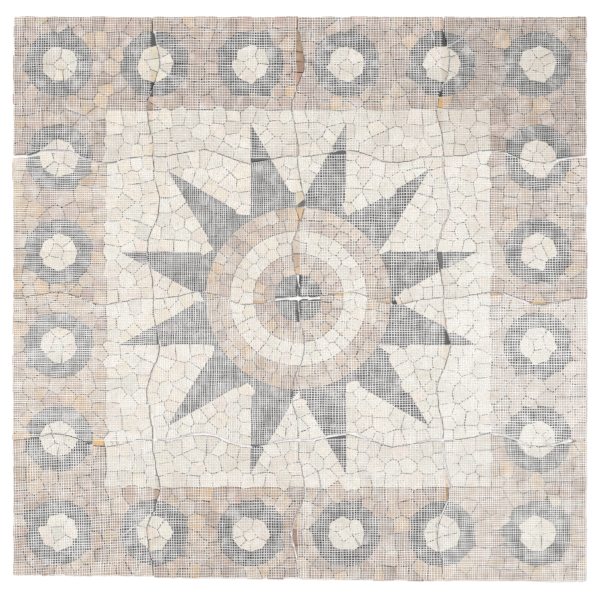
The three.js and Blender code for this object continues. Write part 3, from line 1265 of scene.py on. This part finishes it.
def glass_thread():
    """The white coated thread of the nets."""
    recipe = Recipe("glass_mesh")
    soaked = recipe.noise(GLUE_SIZE, detail=3, seed=5.0)
    fibre = recipe.noise(FIBRE_SIZE, detail=2, seed=6.0)
    colour = recipe.blend(srgb(242, 240, 237), srgb(253, 252, 250), recipe.between(soaked, 0.3, 0.6))
    bump = recipe.node("ShaderNodeBump", None, {"Strength": 0.3, "Distance": 0.0001, "Height": fibre})
    return recipe.finish(Base_Color=colour, Roughness=0.6 - 0.15 * soaked, Normal=bump)


GLASS_THREAD = glass_thread()
print(len(GLASS_THREAD.node_tree.nodes), "nodes in the threads' finish")

# %% The net of each mat
THREAD_STEP = 12.0  # between the points of a thread
THREAD_WANDER = 2.8  # how strongly they stray
THREAD_UNEVEN = 1.8  # how strongly a thread swells and thins
SEED_STEP = 0.37  # from one mat's net to the next


def net_of(mat):
    """The net of one mat as a plain mesh."""
    ends, widths = thread_ends(mat)
    lines = bpy.data.meshes.new("thread_lines")
    pairs = [(i, i + 1) for i in range(0, 2 * len(ends), 2)]
    lines.from_pydata(ends.reshape(-1, 3), pairs, [])
    lines.attributes.new("own_width", "FLOAT", "POINT").data.foreach_set("value", widths)
    carrier = bpy.data.objects.new("thread_lines", lines)
    bpy.context.scene.collection.objects.link(carrier)
    modifier = carrier.modifiers.new("threads", "NODES")
    modifier.node_group = THREADS
    inputs = {
        "Width": THREAD_WIDTH * MM,
        "Thickness": THREAD_THICKNESS * MM,
        "Step": THREAD_STEP * MM,
        "Wander": THREAD_WANDER * MM,
        "Unevenness": THREAD_UNEVEN,
        "Seed": SEED_STEP * mat,
        "Material": GLASS_THREAD,
    }
    for name, value in inputs.items():
        modifier[SOCKETS[name]] = value
    seen = carrier.evaluated_get(bpy.context.evaluated_depsgraph_get())
    mesh = bpy.data.meshes.new_from_object(seen)
    bpy.data.objects.remove(carrier)
    bpy.data.meshes.remove(lines)
    return mesh


for mat, mat_name in enumerate(MATS):
    mesh = net_of(mat)
    mesh.name = f"mat_{mat_name}_glass_mesh"
    obj = bpy.data.objects.new(mesh.name, mesh)
    bpy.context.scene.collection.objects.link(obj)
    finish_piece(obj, [f"mat_{mat_name}_mesh"])
    triangles += triangles_of(mesh)
print(len(pieces), "pieces and", triangles, "triangles in all;", round(time.time() - started, 1), "s")

# %% [markdown]
# Floor, light and camera
#
# The panel lies on a white floor under soft, even light from above, as for a catalogue. The camera hangs
# straight over it. A long lens from far off keeps the panel's sides out of sight.

# %% The floor
FLOOR_SIZE = 40.0  # metres, so that its end is out of sight from low down too
FLOOR_DROP = 0.3  # millimetres below the polished faces, which would flicker if they shared its plane
FLOOR_PATCHES = 0.5  # metres


def white_floor():
    """A plain, matt white."""
    recipe = Recipe("white_floor")
    patches = recipe.noise(FLOOR_PATCHES, detail=2, seed=1.0)
    colour = recipe.blend(srgb(250, 250, 250), srgb(253, 253, 253), patches)
    return recipe.finish(Base_Color=colour, Roughness=0.9)


bpy.ops.mesh.primitive_plane_add(size=FLOOR_SIZE, location=(0, 0, -FLOOR_DROP * MM))
floor = bpy.context.object
floor.name = "floor"
floor.data.materials.append(white_floor())
floor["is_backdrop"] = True
print("the floor is", FLOOR_SIZE, "m across")

# %% The light
SKY = 0.15  # how strong the even light from all round is
SUN = 2.95  # and the light from overhead
SUN_SPREAD = 40.0  # degrees across, as a wide soft panel overhead
SUN_TILT = (-7.0, -9.0)  # degrees off straight down, round X and Y

world = bpy.data.worlds.new("studio")
world.use_nodes = True
world.node_tree.nodes["Background"].inputs["Color"].default_value = (1, 1, 1, 1)
world.node_tree.nodes["Background"].inputs["Strength"].default_value = SKY
bpy.context.scene.world = world

sun_data = bpy.data.lights.new("overhead", "SUN")
sun_data.energy = SUN
sun_data.angle = math.radians(SUN_SPREAD)
sun = bpy.data.objects.new("overhead", sun_data)
sun.rotation_euler = (math.radians(SUN_TILT[0]), math.radians(SUN_TILT[1]), 0)
bpy.context.scene.collection.objects.link(sun)
bpy.context.scene.view_settings.view_transform = "Standard"
print("light from overhead:", SUN, "and from all round:", SKY)

# %% The camera
PHOTO_SIDE = 600  # pixels
MM_PER_PIXEL = 2.0888
MIDDLE_PIXEL = (298.3, 298.3)  # where the middle of the picture is in the photograph
LENS, SENSOR = 100.0, 36.0  # millimetres
FURTHEST = 50.0  # metres that the camera sees

view_width = PHOTO_SIDE * MM_PER_PIXEL * MM
camera_data = bpy.data.cameras.new("camera")
camera_data.lens = LENS
camera_data.sensor_width = SENSOR
camera_data.clip_end = FURTHEST
camera = bpy.data.objects.new("camera", camera_data)
camera.location = (
    (PHOTO_SIDE / 2 - MIDDLE_PIXEL[0]) * MM_PER_PIXEL * MM,
    (MIDDLE_PIXEL[1] - PHOTO_SIDE / 2) * MM_PER_PIXEL * MM,
    view_width * LENS / SENSOR + cad_box[1][2],
)
bpy.context.scene.collection.objects.link(camera)
bpy.context.scene.camera = camera
print("the camera hangs", round(camera.location.z, 2), "m over the floor")

# %% [markdown]
# Measuring up
#
# The last cell measures the finished panel's box and prints it; the solids' box was printed at the start.

# %% The sizes, and the end
visual_box = [list(corner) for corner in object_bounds()]
print("the finished panel's box:", visual_box, "after", round(time.time() - started, 1), "s")
